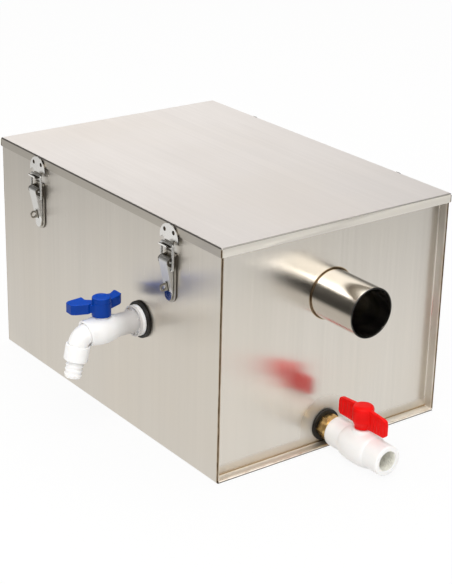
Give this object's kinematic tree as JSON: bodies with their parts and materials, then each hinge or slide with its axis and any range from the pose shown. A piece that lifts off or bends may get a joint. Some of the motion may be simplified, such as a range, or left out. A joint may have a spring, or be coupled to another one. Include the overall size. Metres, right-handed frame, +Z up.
{
  "type": "grease trap",
  "caption": "Under-sink grease trap: folded stainless tank, lift-off lid on toggle latches, side tap with hose tail, waste pipes and a drain ball valve.",
  "frame": {"origin": "middle of the tank's flat underside", "axes": "+X towards the outlet end with the drain valve, -Y towards the long side with the tap, +Z up"},
  "size_m": [0.5336, 0.3805, 0.24],
  "materials": {
    "brushed_stainless": "brushed along the height of the walls",
    "polished_stainless": "polished",
    "brass": "machined, slightly dull",
    "black_rubber": "soft satin",
    "white_plastic": "moulded, slightly glossy",
    "blue_plastic": "moulded, slightly glossy",
    "red_plastic": "moulded, slightly glossy",
    "seat_plastic": "waxy"
  },
  "bodies": {
    "tank": {"basket_handle": "polished_stainless", "basket_rail_back": "brushed_stainless", "basket_rail_front": "brushed_stainless", "drain_inner_washer": "black_rubber", "drain_lock_nut": "brass", "drain_nipple": "brass", "drain_washer": "black_rubber", "hose_tail": "white_plastic", "hose_union_nut": "white_plastic", "inlet_baffle": "brushed_stainless", "inlet_end_panel": "brushed_stainless", "inlet_pipe": "polished_stainless", "latch_base_back_left": "polished_stainless", "latch_base_back_right": "polished_stainless", "latch_base_front_left": "polished_stainless", "latch_base_front_right": "polished_stainless", "latch_keeper_back_left": "polished_stainless", "latch_keeper_back_right": "polished_stainless", "latch_keeper_front_left": "polished_stainless", "latch_keeper_front_right": "polished_stainless", "latch_pin_back_left": "polished_stainless", "latch_pin_back_right": "polished_stainless", "latch_pin_front_left": "polished_stainless", "latch_pin_front_right": "polished_stainless", "lid": "brushed_stainless", "lid_gasket": "black_rubber", "outlet_baffle": "brushed_stainless", "outlet_dip_pipe": "brushed_stainless", "outlet_end_panel": "brushed_stainless", "outlet_pipe": "polished_stainless", "strainer_basket": "brushed_stainless", "tank_wrap": "brushed_stainless", "tap_body": "white_plastic", "tap_inner_washer": "black_rubber", "tap_lock_nut": "white_plastic", "tap_seat_inner": "seat_plastic", "tap_seat_outer": "seat_plastic", "tap_spout": "white_plastic", "tap_washer": "black_rubber", "valve_body": "white_plastic", "valve_retainer": "white_plastic", "valve_seat_inner": "seat_plastic", "valve_seat_outer": "seat_plastic"},
    "tap_turner": {"tap_handle": "blue_plastic", "handle_cap": "blue_plastic", "tap_stem": "seat_plastic", "tap_ball": "seat_plastic"},
    "valve_turner": {"valve_handle": "red_plastic", "valve_stem": "seat_plastic", "valve_ball": "seat_plastic"},
    "lever_front_left": {"latch_lever_front_left": "polished_stainless"},
    "bail_front_left": {"latch_bail_front_left": "polished_stainless"},
    "lever_front_right": {"latch_lever_front_right": "polished_stainless"},
    "bail_front_right": {"latch_bail_front_right": "polished_stainless"},
    "lever_back_left": {"latch_lever_back_left": "polished_stainless"},
    "bail_back_left": {"latch_bail_back_left": "polished_stainless"},
    "lever_back_right": {"latch_lever_back_right": "polished_stainless"},
    "bail_back_right": {"latch_bail_back_right": "polished_stainless"}
  },
  "joints": [
    {"name": "tap_turn", "type": "hinge", "parent": "tank", "child": "tap_turner", "pos_m": [0.07, -0.1855, 0.124], "axis": [0, 0, 1], "range_deg": [0, 90]},
    {"name": "valve_turn", "type": "hinge", "parent": "tank", "child": "valve_turner", "pos_m": [0.2461, 0, 0.0198], "axis": [0, 0, 1], "range_deg": [0, 90]},
    {"name": "lever_hinge_front_left", "type": "hinge", "parent": "tank", "child": "lever_front_left", "pos_m": [-0.121, -0.1461, 0.2035], "axis": [-1, 0, 0], "range_deg": [0, 105]},
    {"name": "bail_hinge_front_left", "type": "hinge", "parent": "lever_front_left", "child": "bail_front_left", "pos_m": [-0.121, -0.1448, 0.195], "axis": [-1, 0, 0], "range_deg": [-90, 0]},
    {"name": "lever_hinge_front_right", "type": "hinge", "parent": "tank", "child": "lever_front_right", "pos_m": [0.121, -0.1461, 0.2035], "axis": [-1, 0, 0], "range_deg": [0, 105]},
    {"name": "bail_hinge_front_right", "type": "hinge", "parent": "lever_front_right", "child": "bail_front_right", "pos_m": [0.121, -0.1448, 0.195], "axis": [-1, 0, 0], "range_deg": [-90, 0]},
    {"name": "lever_hinge_back_left", "type": "hinge", "parent": "tank", "child": "lever_back_left", "pos_m": [-0.121, 0.1461, 0.2035], "axis": [1, 0, 0], "range_deg": [0, 105]},
    {"name": "bail_hinge_back_left", "type": "hinge", "parent": "lever_back_left", "child": "bail_back_left", "pos_m": [-0.121, 0.1448, 0.195], "axis": [1, 0, 0], "range_deg": [-90, 0]},
    {"name": "lever_hinge_back_right", "type": "hinge", "parent": "tank", "child": "lever_back_right", "pos_m": [0.121, 0.1461, 0.2035], "axis": [1, 0, 0], "range_deg": [0, 105]},
    {"name": "bail_hinge_back_right", "type": "hinge", "parent": "lever_back_right", "child": "bail_back_right", "pos_m": [0.121, 0.1448, 0.195], "axis": [1, 0, 0], "range_deg": [-90, 0]}
  ],
  "couplings": [
    {"joint": "bail_hinge_front_left", "follows": "lever_hinge_front_left", "ratio": -0.85},
    {"joint": "bail_hinge_front_right", "follows": "lever_hinge_front_right", "ratio": -0.85},
    {"joint": "bail_hinge_back_left", "follows": "lever_hinge_back_left", "ratio": -0.85},
    {"joint": "bail_hinge_back_right", "follows": "lever_hinge_back_right", "ratio": -0.85}
  ]
}
